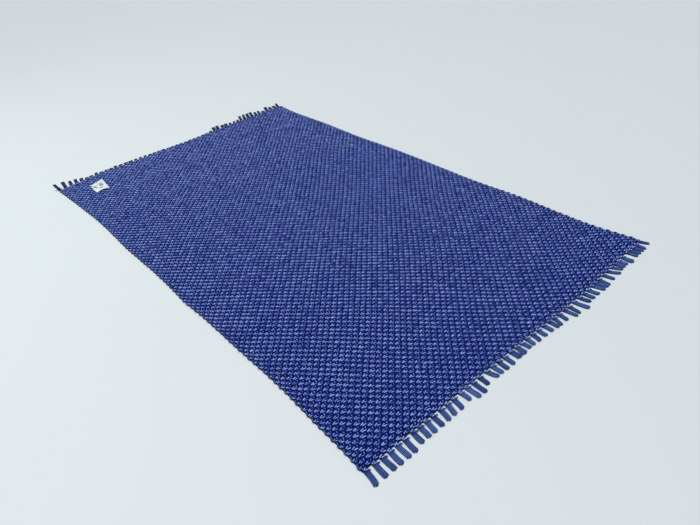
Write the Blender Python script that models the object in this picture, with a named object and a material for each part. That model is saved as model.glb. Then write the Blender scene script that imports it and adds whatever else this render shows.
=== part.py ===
"""Flat-woven outdoor rug, lying spread out, with a fringe of warp locks at both short ends.

Units are metres and +Z is up. +X runs across the rug and +Y along it. The origin is the middle of
the rug's footprint, on the surface that it lies on. Four pieces: the woven cloth, one fringe at
each short end, and a small care label sewn near one corner.
"""

from dataclasses import dataclass

import bmesh
import bpy
import numpy as np
from mathutils import Vector
from mathutils.bvhtree import BVHTree

# Driving sizes of the cloth
CLOTH_WIDTH = 1.485
CLOTH_LENGTH = 2.530
CLOTH_THICKNESS = 0.009
PART_GAP = 0.0003

# Weave: one turning of the weft shows at each side for every two picks
PICK_COUNT = 160
TURNING_COUNT = PICK_COUNT // 2
TURNING_DEPTH = 0.0035
TURNING_POINTS = 3
TURNINGS_PER_ROW = 2

# Columns of the top face, from -1 at the left side to 1 at the right side
COLUMNS = np.array([-1.0, -0.92, -0.70, -0.47, -0.23, 0.0, 0.23, 0.47, 0.70, 0.92, 1.0])

# How far each edge lies outside the plain rectangle. place: -1 to 1 along the edge
# place, outward
LEFT_EDGE = [
    (-1.00, 0.018), (-0.93, 0.011), (-0.81, 0.005), (-0.69, -0.003), (-0.43, -0.003),
    (-0.24, -0.003), (-0.16, 0.002), (-0.04, -0.003), (0.08, -0.005), (0.32, -0.001),
    (0.47, -0.006), (0.63, -0.006), (0.73, 0.000), (0.85, 0.007), (1.00, 0.017),
]
RIGHT_EDGE = [
    (-1.00, 0.023), (-0.93, 0.010), (-0.87, 0.001), (-0.69, 0.000), (-0.57, 0.006),
    (-0.31, -0.003), (-0.16, 0.002), (0.04, 0.007), (0.20, 0.005), (0.32, -0.001),
    (0.47, 0.001), (0.61, 0.005), (0.76, 0.000), (0.94, 0.005), (1.00, 0.016),
]
NEAR_EDGE = [
    (-1.00, -0.009), (-0.40, -0.006), (0.00, -0.003), (0.34, 0.007), (0.66, -0.004), (1.00, -0.013),
]
FAR_EDGE = [
    (-1.00, -0.001), (-0.80, 0.016), (-0.40, 0.012), (0.00, -0.003), (0.30, 0.003), (0.70, 0.007),
    (1.00, -0.005),
]

# Low waves left in the cloth by the roll that it was sold in, each one a ridge across the rug
# along: crest, spread: half width, height, middle and reach: the part of the width that it covers
ROLL_WAVES = [
    # along, spread, height, middle, reach
    (1.165, 0.040, 0.0015, 0.10, 0.90),
    (0.950, 0.050, 0.0016, 0.20, 0.90),
    (0.750, 0.050, 0.0015, 0.00, 0.90),
    (0.550, 0.045, 0.0014, 0.05, 0.95),
    (0.330, 0.050, 0.0013, -0.10, 0.90),
    (0.090, 0.055, 0.0008, 0.15, 0.70),
    (-0.180, 0.045, 0.0018, -0.35, 0.55),
    (-0.440, 0.050, 0.0010, -0.40, 0.50),
    (-0.760, 0.070, 0.0008, 0.10, 0.80),
]

# Fringe locks
ROOT_STRIP_DEPTH = 0.008
ROOT_WIDTH = 0.020
ROOT_CLEARANCE = 0.0015
ROOT_HEIGHT = 0.007
TIP_HEIGHT = 0.005
LOCK_SECTIONS = (0.5, 1.0)
LIFT_POWER = 1.7

# Clusters of locks. root: the first lock's middle, count, pitch: from lock to lock, lean: the
# first tip's shift sideways, step: added to the lean from lock to lock, reach: from the cloth's
# edge to the tips, width: at the tips, lift: of the tips above the surface
NEAR_CLUSTERS = [
    # root, count, pitch, lean, step, reach, width, lift
    (-0.748, 2, 0.033, -0.010, 0.003, 0.062, 0.019, 0.0),
    (-0.686, 4, 0.0297, -0.003, -0.001, 0.062, 0.019, 0.0),
    (-0.562, 4, 0.0283, -0.007, 0.000, 0.054, 0.019, 0.0),
    (-0.443, 3, 0.0295, -0.010, 0.000, 0.053, 0.019, 0.0),
    (-0.351, 1, 0.0300, 0.002, 0.000, 0.046, 0.018, 0.0),
    (-0.322, 2, 0.0300, 0.001, 0.000, 0.060, 0.019, 0.0),
    (-0.260, 1, 0.0300, -0.003, 0.000, 0.046, 0.018, 0.0),
    (-0.226, 2, 0.0320, 0.010, -0.011, 0.047, 0.018, 0.0),
    (-0.163, 2, 0.0300, -0.005, 0.000, 0.049, 0.019, 0.0),
    (-0.100, 2, 0.0290, 0.001, 0.000, 0.045, 0.026, 0.0),
    (-0.044, 2, 0.0310, 0.005, -0.011, 0.042, 0.018, 0.0),
    (0.017, 3, 0.0300, -0.007, 0.005, 0.044, 0.019, 0.0),
    (0.107, 2, 0.0280, 0.002, -0.010, 0.046, 0.016, 0.0),
    (0.163, 1, 0.0300, -0.001, 0.000, 0.044, 0.018, 0.0),
    (0.194, 2, 0.0290, 0.009, -0.012, 0.056, 0.015, 0.0),
    (0.256, 1, 0.0300, 0.008, 0.000, 0.064, 0.021, 0.0),
    (0.289, 3, 0.0300, 0.011, -0.002, 0.048, 0.019, 0.0),
    (0.380, 3, 0.0250, 0.015, -0.007, 0.051, 0.017, 0.0),
    (0.463, 2, 0.0310, 0.011, 0.012, 0.048, 0.018, 0.0),
    (0.527, 3, 0.0280, 0.017, -0.006, 0.042, 0.019, 0.0),
    (0.614, 1, 0.0300, 0.000, 0.000, 0.052, 0.026, 0.0),
    (0.654, 4, 0.0235, 0.008, -0.002, 0.046, 0.018, 0.0),
    (0.754, 1, 0.0300, 0.010, 0.000, 0.040, 0.017, 0.0),
]
FAR_CLUSTERS = [
    # root, count, pitch, lean, step, reach, width, lift
    (-0.748, 1, 0.030, -0.018, 0.000, 0.046, 0.016, 0.030),
    (-0.717, 1, 0.030, -0.004, 0.000, 0.045, 0.020, 0.026),
    (-0.687, 1, 0.030, 0.006, 0.000, 0.042, 0.018, 0.016),
    (-0.656, 1, 0.030, 0.008, 0.000, 0.040, 0.018, 0.014),
    (-0.625, 1, 0.030, 0.008, 0.000, 0.036, 0.020, 0.008),
    (-0.594, 2, 0.030, 0.004, 0.000, 0.028, 0.024, 0.002),
    (-0.533, 1, 0.030, 0.002, 0.000, 0.034, 0.018, 0.004),
    (-0.503, 3, 0.030, 0.000, 0.000, 0.027, 0.026, 0.001),
    (-0.413, 1, 0.030, 0.000, 0.000, 0.033, 0.018, 0.003),
    (-0.383, 3, 0.030, 0.001, 0.000, 0.028, 0.027, 0.002),
    (-0.293, 3, 0.030, 0.003, 0.000, 0.030, 0.018, 0.002),
    (-0.203, 4, 0.030, 0.002, 0.000, 0.026, 0.026, 0.001),
    (-0.083, 4, 0.030, 0.001, 0.000, 0.022, 0.026, 0.0),
    (0.037, 6, 0.030, 0.000, 0.000, 0.018, 0.024, 0.0),
    (0.217, 1, 0.030, 0.002, 0.000, 0.024, 0.021, 0.003),
    (0.247, 2, 0.027, 0.003, 0.001, 0.038, 0.024, 0.014),
    (0.309, 2, 0.028, 0.004, 0.000, 0.032, 0.024, 0.008),
    (0.367, 3, 0.028, 0.004, 0.001, 0.026, 0.016, 0.006),
    (0.447, 2, 0.028, 0.012, 0.000, 0.040, 0.019, 0.020),
    (0.505, 2, 0.028, 0.008, 0.000, 0.040, 0.022, 0.018),
    (0.563, 2, 0.028, 0.006, -0.002, 0.034, 0.017, 0.010),
    (0.621, 1, 0.030, 0.002, 0.000, 0.022, 0.021, 0.004),
    (0.651, 1, 0.030, 0.004, 0.000, 0.038, 0.024, 0.018),
    (0.682, 2, 0.030, 0.002, 0.000, 0.030, 0.024, 0.010),
    (0.738, 1, 0.030, 0.004, 0.000, 0.036, 0.018, 0.016),
]

# Care label, lying on the cloth and sewn down near the far left corner
LABEL_MIDDLE = (-0.586, 1.100)
LABEL_WIDTH = 0.075
LABEL_LENGTH = 0.092
LABEL_THICKNESS = 0.0012
LABEL_CLEARANCE = 0.0006
LABEL_COLUMNS = 7
LABEL_ROWS = 8
LABEL_CORNER_CURL = 0.022
LABEL_HEM_ARCH = 0.005
LABEL_SIDE_CURL = 0.003

CLOTH_BLUE = (0.045, 0.075, 0.235, 1.0)
NEAR_FRINGE_BLUE = (0.052, 0.100, 0.300, 1.0)
FAR_FRINGE_BLUE = (0.040, 0.065, 0.190, 1.0)
LABEL_WHITE = (0.80, 0.83, 0.82, 1.0)


@dataclass
class Lock:
    """One lock of the fringe: where it starts, where its tip lies and how wide it is."""

    root: float
    root_half: float
    lean: float
    reach: float
    tip_half: float
    lift: float


def curve(rows, place):
    """Height of a smooth curve through the (place, value) rows, with the slopes taken from them."""
    places, values = np.array(rows, dtype=float).T
    slopes = np.gradient(values, places)
    place = np.clip(np.asarray(place, dtype=float), places[0], places[-1])
    cell = np.clip(np.searchsorted(places, place, side="right") - 1, 0, len(places) - 2)
    width = places[cell + 1] - places[cell]
    t = (place - places[cell]) / width
    return (
        (2 * t**3 - 3 * t**2 + 1) * values[cell]
        + (t**3 - 2 * t**2 + t) * width * slopes[cell]
        + (3 * t**2 - 2 * t**3) * values[cell + 1]
        + (t**3 - t**2) * width * slopes[cell + 1]
    )


def turning(along):
    """Outward bulge of the weft's turnings at a side: one half wave for every two picks."""
    phase = ((along + 1) / 2 * TURNING_COUNT) % 1.0
    return TURNING_DEPTH * np.sin(np.pi * phase)


def side_x(along):
    """x of the left and the right side at a place along the rug, without the turnings."""
    left = -(CLOTH_WIDTH / 2 + curve(LEFT_EDGE, along))
    right = CLOTH_WIDTH / 2 + curve(RIGHT_EDGE, along)
    return left, right


def end_y(across):
    """y of the near and the far end at a place across the rug: straight from column to column."""
    near = -(CLOTH_LENGTH / 2 + np.interp(across, COLUMNS, curve(NEAR_EDGE, COLUMNS)))
    far = CLOTH_LENGTH / 2 + np.interp(across, COLUMNS, curve(FAR_EDGE, COLUMNS))
    return near, far


def cloth_point(across, along):
    """x and y of the cloth for a place across and a place along it, each from -1 to 1."""
    left, right = side_x(along)
    near, far = end_y(across)
    x = left + (right - left) * (across + 1) / 2
    x += np.where(abs(across) == 1, np.sign(across) * turning(along), 0.0)
    y = near + (far - near) * (along + 1) / 2
    return float(x), float(y)


def wave_height(x, y):
    """Rise of the roll's waves at a place: a sum of bell-shaped ridges, each fading sideways."""
    rise = 0.0
    for crest, spread, height, middle, reach in ROLL_WAVES:
        sideways = np.clip(1 - ((x - middle) / reach) ** 2, 0, 1)
        rise += height * sideways * np.exp(-(((y - crest) / spread) ** 2))
    return rise


def new_object(name, mesh, colour, roughness):
    """Link an object for the mesh, with its own Principled material."""
    thing = bpy.data.objects.new(name, mesh)
    bpy.context.scene.collection.objects.link(thing)
    material = bpy.data.materials.new(name)
    material.use_nodes = True
    shader = material.node_tree.nodes["Principled BSDF"]
    shader.inputs["Base Color"].default_value = colour
    shader.inputs["Roughness"].default_value = roughness
    shader.inputs["Metallic"].default_value = 0.0
    mesh.materials.append(material)
    return thing


def make_cloth():
    """The woven cloth: a flat underside, scalloped sides and a top with the roll's low waves."""
    bm = bmesh.new()
    row_count = TURNING_COUNT // TURNINGS_PER_ROW + 1
    side_steps = TURNINGS_PER_ROW * TURNING_POINTS

    def top_vertex(across, along):
        x, y = cloth_point(across, along)
        return bm.verts.new((x, y, CLOTH_THICKNESS + wave_height(x, y)))

    rows = np.linspace(-1, 1, row_count)
    inner = [[top_vertex(across, along) for across in COLUMNS[1:-1]] for along in rows]
    side_rows = np.linspace(-1, 1, (row_count - 1) * side_steps + 1)
    left = [top_vertex(-1.0, along) for along in side_rows]
    right = [top_vertex(1.0, along) for along in side_rows]

    for row in range(row_count - 1):
        for column in range(len(COLUMNS) - 3):
            here, there = inner[row], inner[row + 1]
            bm.faces.new((here[column], here[column + 1], there[column + 1], there[column]))
        first = row * side_steps
        left_run = left[first : first + side_steps + 1]
        right_run = right[first : first + side_steps + 1]
        bm.faces.new([inner[row][0], inner[row + 1][0]] + left_run[::-1])
        bm.faces.new([inner[row + 1][-1], inner[row][-1]] + right_run)

    rim = inner[0] + right + inner[-1][::-1] + left[::-1]
    foot = [bm.verts.new((vertex.co.x, vertex.co.y, 0.0)) for vertex in rim]
    for index in range(len(rim)):
        after = (index + 1) % len(rim)
        bm.faces.new((foot[index], foot[after], rim[after], rim[index]))
    bm.faces.new(foot[::-1])

    mesh = bpy.data.meshes.new("cloth")
    bm.to_mesh(mesh)
    bm.free()
    return new_object("rug_cloth", mesh, CLOTH_BLUE, 0.62)


def spread_locks(clusters):
    """Every lock of a fringe, its root kept clear of the locks beside it."""
    locks = []
    for root, count, pitch, lean, step, reach, width, lift in clusters:
        for index in range(count):
            place, tilt = root + index * pitch, lean + index * step
            locks.append(Lock(place, ROOT_WIDTH / 2, tilt, reach, width / 2, lift))
    for before, after in zip(locks, locks[1:]):
        room = (after.root - before.root - ROOT_CLEARANCE) / 2
        before.root_half = min(before.root_half, room)
        after.root_half = min(after.root_half, room)
    return locks


def make_fringe(name, clusters, outward, colour):
    """A fringe: a narrow strip along the cloth's end, and the locks that grow out of it.

    outward is -1 at the near end and 1 at the far end. Each lock is a flat four-sided taper with
    its root in the strip, its underside level with the strip's, apart from lifted tips.
    """
    bm = bmesh.new()
    left, right = side_x(float(outward))

    def edge_y(x):
        across = (x - left) / (right - left) * 2 - 1
        return end_y(across)[0 if outward < 0 else 1]

    def pair(x, distance, low, high):
        y = edge_y(x) + outward * distance
        return bm.verts.new((x, y, low)), bm.verts.new((x, y, high))

    def wall(first, second):
        bm.faces.new((first[0], second[0], second[1], first[1]))

    locks = spread_locks(clusters)
    corners = [left]
    for lock in locks:
        corners += [lock.root - lock.root_half, lock.root + lock.root_half]
    corners.append(right)
    column_xs = left + (right - left) * (COLUMNS + 1) / 2
    inside = [pair(x, PART_GAP, 0.0, ROOT_HEIGHT) for x in column_xs]
    outside = [pair(x, PART_GAP + ROOT_STRIP_DEPTH, 0.0, ROOT_HEIGHT) for x in corners]
    for before, after in zip(inside, inside[1:]):
        wall(before, after)
    for index in range(0, len(outside) - 1, 2):
        wall(outside[index], outside[index + 1])
    wall(inside[0], outside[0])
    wall(inside[-1], outside[-1])
    for level in (0, 1):
        bm.faces.new([point[level] for point in inside + outside[::-1]])

    for index, lock in enumerate(locks):
        ring = [outside[2 * index + 1], outside[2 * index + 2]]
        for section in LOCK_SECTIONS:
            half = lock.root_half + (lock.tip_half - lock.root_half) * section
            middle = lock.root + lock.lean * section
            start = PART_GAP + ROOT_STRIP_DEPTH
            distance = start + (lock.reach - start) * section
            low = lock.lift * section**LIFT_POWER
            high = low + ROOT_HEIGHT + (TIP_HEIGHT - ROOT_HEIGHT) * section
            y = edge_y(lock.root) + outward * distance
            following = []
            for x in (middle - half, middle + half):
                following.append((bm.verts.new((x, y, low)), bm.verts.new((x, y, high))))
            wall(ring[0], following[0])
            wall(ring[1], following[1])
            bm.faces.new((ring[0][0], ring[1][0], following[1][0], following[0][0]))
            bm.faces.new((ring[0][1], ring[1][1], following[1][1], following[0][1]))
            ring = following
        wall(ring[0], ring[1])

    bmesh.ops.recalc_face_normals(bm, faces=bm.faces)
    mesh = bpy.data.meshes.new(name)
    bm.to_mesh(mesh)
    bm.free()
    return new_object(name, mesh, colour, 0.55)


def label_rise(across, along):
    """Rise of the label above the cloth, for places from 0 to 1: one curled corner, an arched hem."""
    corner = LABEL_CORNER_CURL * np.clip(across * 0.55 + along * 1.2 - 0.75, 0, 1) ** 1.6
    hem = LABEL_HEM_ARCH * np.sin(np.pi * across) ** 2 * (1 - along) ** 3
    side = LABEL_SIDE_CURL * (1 - across) ** 4 * along
    return corner + hem + side


def make_label(cloth):
    """The care label: a thin sheet laid over the cloth's own top, with its free edges curled."""
    surface = bmesh.new()
    surface.from_mesh(cloth.data)
    top = BVHTree.FromBMesh(surface)
    surface.free()

    bm = bmesh.new()
    places = []
    for row in range(LABEL_ROWS + 1):
        for column in range(LABEL_COLUMNS + 1):
            across, along = column / LABEL_COLUMNS, row / LABEL_ROWS
            x = LABEL_MIDDLE[0] + (across - 0.5) * LABEL_WIDTH
            y = LABEL_MIDDLE[1] + (along - 0.5) * LABEL_LENGTH
            hit = top.ray_cast(Vector((x, y, 1.0)), Vector((0.0, 0.0, -1.0)))[0]
            places.append(bm.verts.new((x, y, hit.z + LABEL_CLEARANCE + label_rise(across, along))))
    for row in range(LABEL_ROWS):
        for column in range(LABEL_COLUMNS):
            first = row * (LABEL_COLUMNS + 1) + column
            above = first + LABEL_COLUMNS + 1
            bm.faces.new((places[first], places[first + 1], places[above + 1], places[above]))
    mesh = bpy.data.meshes.new("label")
    bm.to_mesh(mesh)
    bm.free()

    label = new_object("care_label", mesh, LABEL_WHITE, 0.7)
    shell = label.modifiers.new("thickness", "SOLIDIFY")
    shell.thickness = LABEL_THICKNESS
    shell.offset = 1.0
    shell.use_rim = True
    return label


def main():
    """Clear the scene and make the four pieces."""
    for thing in list(bpy.data.objects):
        bpy.data.objects.remove(thing, do_unlink=True)
    cloth = make_cloth()
    make_fringe("fringe_near", NEAR_CLUSTERS, -1, NEAR_FRINGE_BLUE)
    make_fringe("fringe_far", FAR_CLUSTERS, 1, FAR_FRINGE_BLUE)
    make_label(cloth)


main()
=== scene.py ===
"""Looks of a flat-woven outdoor rug that lies spread out, with a fringe at both short ends.

The cloth is a chunky plain weave. Each pick of the weft passes over one warp end and under the
next, so its floats stand in a brick pattern, and between two floats of a pick the warp end that
covers it shows as a short, deeper dash. A float here is two strands and a dash is one. Each strand
is a small closed surface of its own, worked out in the weave's own units (ends across, picks along)
and then laid on the cloth's uneven outline. Below them lies a thin dark sheet, which is the
shadowed inside of the weave.

Units are metres, +X across the rug, +Y along it, +Z up.
"""

import logging
from collections.abc import Sequence
from dataclasses import dataclass, field
from enum import Enum

import bpy
import numpy as np
from mathutils import Matrix, Vector


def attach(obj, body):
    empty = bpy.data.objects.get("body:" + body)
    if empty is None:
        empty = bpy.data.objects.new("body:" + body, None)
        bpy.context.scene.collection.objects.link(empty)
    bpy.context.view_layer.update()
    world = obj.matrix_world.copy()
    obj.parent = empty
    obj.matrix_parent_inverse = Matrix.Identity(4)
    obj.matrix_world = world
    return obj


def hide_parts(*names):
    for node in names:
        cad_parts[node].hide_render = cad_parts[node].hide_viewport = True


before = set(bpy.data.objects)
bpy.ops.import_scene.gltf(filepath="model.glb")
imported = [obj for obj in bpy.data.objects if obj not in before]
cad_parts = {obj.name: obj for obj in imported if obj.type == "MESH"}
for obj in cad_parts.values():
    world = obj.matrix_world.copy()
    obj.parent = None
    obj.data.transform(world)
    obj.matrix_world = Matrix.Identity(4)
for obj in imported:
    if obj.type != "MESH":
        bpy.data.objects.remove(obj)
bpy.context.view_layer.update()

LOG = logging.getLogger("outdoor_rug")
Array = np.ndarray
Rows = Sequence[tuple[float, ...]]
Colour = tuple[float, float, float]
Place = tuple[float, float, float]
BODY = "root"
SEED = 168


class Slot(Enum):
    """The record's material slots, by what they dress."""

    CLOTH = "cloth_yarn"
    NEAR_FRINGE = "near_fringe_yarn"
    FAR_FRINGE = "far_fringe_yarn"
    LABEL = "label_cloth"


class End(Enum):
    """The two short ends, each with the direction in which it faces along +Y."""

    NEAR = -1
    FAR = 1


# Numbers and curves


def curve(rows: Rows, place: Array) -> Array:
    """Read a smooth curve through (place, value) rows.

    Between two rows the curve is the cubic that meets both values with the slopes found there
    from the neighbouring rows.

    Args:
        rows: The (place, value) pairs, in order of place.
        place: Where to read the curve.

    Returns:
        The curve's values, in the shape of place.
    """
    places, values = np.array(rows, dtype=float).T
    slopes = np.gradient(values, places)
    place = np.clip(np.asarray(place, dtype=float), places[0], places[-1])
    cell = np.clip(np.searchsorted(places, place, side="right") - 1, 0, len(places) - 2)
    width = places[cell + 1] - places[cell]
    t = (place - places[cell]) / width
    return (
        (2 * t**3 - 3 * t**2 + 1) * values[cell]
        + (t**3 - 2 * t**2 + t) * width * slopes[cell]
        + (3 * t**2 - 2 * t**3) * values[cell + 1]
        + (t**3 - t**2) * width * slopes[cell + 1]
    )


def smooth_step(value: Array, low: float, high: float) -> Array:
    """Rise from 0 at low to 1 at high along 3t^2 - 2t^3."""
    t = np.clip((value - low) / (high - low), 0.0, 1.0)
    return t * t * (3 - 2 * t)


def unit(vectors: Array) -> Array:
    """Scale the last axis of an array of vectors to length 1."""
    return vectors / np.maximum(np.linalg.norm(vectors, axis=-1, keepdims=True), 1e-9)


def place_object(name: str, data: bpy.types.ID) -> bpy.types.Object:
    """Make an object and link it to the scene.

    Args:
        name: Its name.
        data: Its mesh, light or camera.

    Returns:
        The object, at the origin.
    """
    thing = bpy.data.objects.new(name, data)
    bpy.context.scene.collection.objects.link(thing)
    return thing


def tube_points(middle: Array, across: Array, above: Array, upright: bool = False) -> Array:
    """Carry a ring of points along each middle line.

    Sideways is level and square to the line. Upward is square to both, or straight up.

    Args:
        middle: Places of the middle lines, shaped (tubes, rings, 3).
        across: How far each point of a ring lies sideways; broadcasts to (tubes, rings, points).
        above: How far it lies upward, in the same way.
        upright: Whether upward is straight up.

    Returns:
        The places, shaped (tubes, rings, points, 3).
    """
    top = np.array([0.0, 0.0, 1.0])
    tangent = unit(np.gradient(middle, axis=1))
    sideways = unit(np.cross(tangent, top))
    upward = np.broadcast_to(top, tangent.shape) if upright else np.cross(sideways, tangent)
    aside = sideways[:, :, None] * across[..., None]
    return middle[:, :, None] + aside + upward[:, :, None] * above[..., None]


# Meshes


@dataclass
class YarnMesh:
    """Collects many small closed surfaces of like form, and makes one mesh of them.

    Attributes:
        points: One array of vertex places for each batch.
        tones: For each vertex, how light its yarn is dyed, about 0 to 1.
        crests: For each vertex, its painted light: 0 for painted shade in the weave's depth, 1 for a
            painted highlight on top of a strand.
        uvs: For each vertex, metres along its strand and metres across it.
        faces: Arrays of faces, each with its own count of corners.
        count: Vertices so far.
    """

    points: list[Array] = field(default_factory=list)
    tones: list[Array] = field(default_factory=list)
    crests: list[Array] = field(default_factory=list)
    uvs: list[Array] = field(default_factory=list)
    faces: list[Array] = field(default_factory=list)
    count: int = 0

    def _store(self, points: Array, tone: Array, crest: Array, uv: Array, loops: list[Array]) -> None:
        """Keep a batch of like surfaces.

        Args:
            points: Places, shaped (surfaces, rows, columns, 3).
            tone: Tones, which broadcast to (surfaces, rows, columns).
            crest: Crests, which broadcast the same way.
            uv: Texture places, which broadcast to (surfaces, rows, columns, 2).
            loops: For one surface, arrays of faces as numbers of its own vertices.
        """
        surfaces, rows, columns = points.shape[:3]
        shape = (surfaces, rows, columns)
        self.points.append(points.reshape(-1, 3))
        self.tones.append(np.broadcast_to(tone, shape).reshape(-1))
        self.crests.append(np.broadcast_to(crest, shape).reshape(-1))
        self.uvs.append(np.broadcast_to(uv, shape + (2,)).reshape(-1, 2))
        first = self.count + np.arange(surfaces) * rows * columns
        for loop in loops:
            self.faces.append((first[:, None, None] + loop[None]).reshape(-1, loop.shape[1]))
        self.count += surfaces * rows * columns

    def add_patches(self, points: Array, tone: Array, crest: Array, uv: Array) -> None:
        """Add open grids, each closed below by one face round its rim.

        Args:
            points: Places, shaped (surfaces, rows, columns, 3), rows along +X, columns along +Y.
            tone: Tones of the vertices.
            crest: Crests of the vertices.
            uv: Texture places of the vertices.
        """
        rows, columns = points.shape[1:3]
        number = np.arange(rows * columns).reshape(rows, columns)
        quads = np.stack(
            [number[:-1, :-1], number[1:, :-1], number[1:, 1:], number[:-1, 1:]], axis=-1
        ).reshape(-1, 4)
        rim = np.concatenate([number[:, 0], number[-1, 1:], number[-2::-1, -1], number[0, -2:0:-1]])
        self._store(points, tone, crest, uv, [quads, rim[::-1][None]])

    def add_tubes(self, points: Array, tone: Array, crest: Array, uv: Array) -> None:
        """Add tubes: rings of points along a path, with a flat face over each end.

        Args:
            points: Places, shaped (tubes, rings, points of a ring, 3).
            tone: Tones of the vertices.
            crest: Crests of the vertices.
            uv: Texture places of the vertices.
        """
        rings, sides = points.shape[1:3]
        number = np.arange(rings * sides).reshape(rings, sides)
        after = np.roll(number, -1, axis=1)
        quads = np.stack([number[:-1], after[:-1], after[1:], number[1:]], axis=-1).reshape(-1, 4)
        caps = np.stack([number[0, ::-1], number[-1]])
        self._store(points, tone, crest, uv, [quads, caps])

    def make(self, name: str, material: bpy.types.Material) -> bpy.types.Object:
        """Turn what was collected into an object at the origin.

        Args:
            name: The object's name.
            material: The finish of all its faces.

        Returns:
            The object, linked to the scene and shaded smooth.
        """
        mesh = bpy.data.meshes.new(name)
        corners = np.concatenate([face.reshape(-1) for face in self.faces])
        sizes = np.concatenate([np.full(len(face), face.shape[1]) for face in self.faces])
        mesh.vertices.add(self.count)
        mesh.vertices.foreach_set("co", np.concatenate(self.points).astype(np.float32).ravel())
        mesh.loops.add(len(corners))
        mesh.loops.foreach_set("vertex_index", corners.astype(np.int32))
        mesh.polygons.add(len(sizes))
        starts = np.concatenate([[0], np.cumsum(sizes)[:-1]])
        mesh.polygons.foreach_set("loop_start", starts.astype(np.int32))
        mesh.update(calc_edges=True)
        mesh.polygons.foreach_set("use_smooth", np.ones(len(sizes), dtype=bool))
        for title, values in (("tone", self.tones), ("crest", self.crests)):
            attribute = mesh.attributes.new(title, "FLOAT", "POINT")
            attribute.data.foreach_set("value", np.concatenate(values).astype(np.float32))
        places = mesh.uv_layers.new(name="strand")
        places.data.foreach_set("uv", np.concatenate(self.uvs)[corners].astype(np.float32).ravel())
        mesh.materials.append(material)
        LOG.info("%s: %d vertices, %d faces", name, self.count, len(sizes))
        return place_object(name, mesh)


def sheet_shell(
    name: str, top: Array, bottom: Array, uv: Array, materials: Sequence[bpy.types.Material]
) -> bpy.types.Object:
    """Close a sheet of two like grids with a rim between them.

    Args:
        name: The object's name.
        top: Places of the upper face, shaped (rows, columns, 3), rows along +Y.
        bottom: Places of the lower face, shaped the same.
        uv: Texture places of both, shaped (rows, columns, 2).
        materials: Finish of the upper face and rim, and then of the lower face.

    Returns:
        The object, linked to the scene and shaded smooth.
    """
    rows, columns = top.shape[:2]
    number = np.arange(rows * columns).reshape(rows, columns)
    quads = np.stack(
        [number[:-1, :-1], number[:-1, 1:], number[1:, 1:], number[1:, :-1]], axis=-1
    ).reshape(-1, 4)
    rim = np.concatenate([number[0, :], number[1:, -1], number[-1, -2::-1], number[-2:0:-1, 0]])
    after = np.roll(rim, -1)
    low = rows * columns
    band = np.stack([rim + low, after + low, after, rim], axis=-1)
    faces = np.concatenate([quads, band, quads[:, ::-1] + low])
    mesh = bpy.data.meshes.new(name)
    points = np.concatenate([top.reshape(-1, 3), bottom.reshape(-1, 3)])
    mesh.from_pydata(points.tolist(), [], faces.tolist())
    places = mesh.uv_layers.new(name="strand")
    both = np.tile(uv.reshape(-1, 2), (2, 1))
    places.data.foreach_set("uv", both[faces.ravel()].astype(np.float32).ravel())
    for material in materials:
        mesh.materials.append(material)
    under = np.zeros(len(faces), dtype=np.int32)
    under[len(quads) + len(band) :] = len(materials) - 1
    mesh.polygons.foreach_set("material_index", under)
    mesh.polygons.foreach_set("use_smooth", np.ones(len(faces), dtype=bool))
    LOG.info("%s: %d vertices, %d faces", name, len(points), len(faces))
    return place_object(name, mesh)


# Shader nodes


class Value:
    """A number socket that takes part in Python's arithmetic by adding Math nodes."""

    def __init__(self, tree: "Tree", socket: bpy.types.NodeSocket) -> None:
        """Wrap a socket of a tree."""
        self.tree = tree
        self.socket = socket

    def _math(self, operation: str, first: "Value | float", second: "Value | float") -> "Value":
        """Add one Math node and wrap its result."""
        node = self.tree.node("ShaderNodeMath", {"operation": operation}, {0: first, 1: second})
        return Value(self.tree, node.outputs[0])

    def __add__(self, other: "Value | float") -> "Value":
        """Add."""
        return self._math("ADD", self, other)

    def __mul__(self, other: "Value | float") -> "Value":
        """Multiply."""
        return self._math("MULTIPLY", self, other)

    def __sub__(self, other: "Value | float") -> "Value":
        """Subtract the other value from this one."""
        return self._math("SUBTRACT", self, other)

    def __rsub__(self, other: "Value | float") -> "Value":
        """Subtract this value from the other one."""
        return self._math("SUBTRACT", other, self)

    def __truediv__(self, other: "Value | float") -> "Value":
        """Divide by the other value."""
        return self._math("DIVIDE", self, other)

    def sine(self) -> "Value":
        """Sine of an angle in radians."""
        return self._math("SINE", self, 0.0)

    def size(self) -> "Value":
        """The value without its sign."""
        return self._math("ABSOLUTE", self, 0.0)

    def remainder(self, step: float) -> "Value":
        """What is left over after whole steps."""
        return self._math("FLOORED_MODULO", self, step)

    def rise(self, low: float, high: float) -> "Value":
        """Rise smoothly from 0 to 1.

        Args:
            low: Where it is still 0.
            high: Where it reaches 1.

        Returns:
            The risen value.
        """
        settings = {"interpolation_type": "SMOOTHSTEP", "clamp": True}
        node = self.tree.node("ShaderNodeMapRange", settings, {0: self, 1: low, 2: high})
        return Value(self.tree, node.outputs[0])


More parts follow.
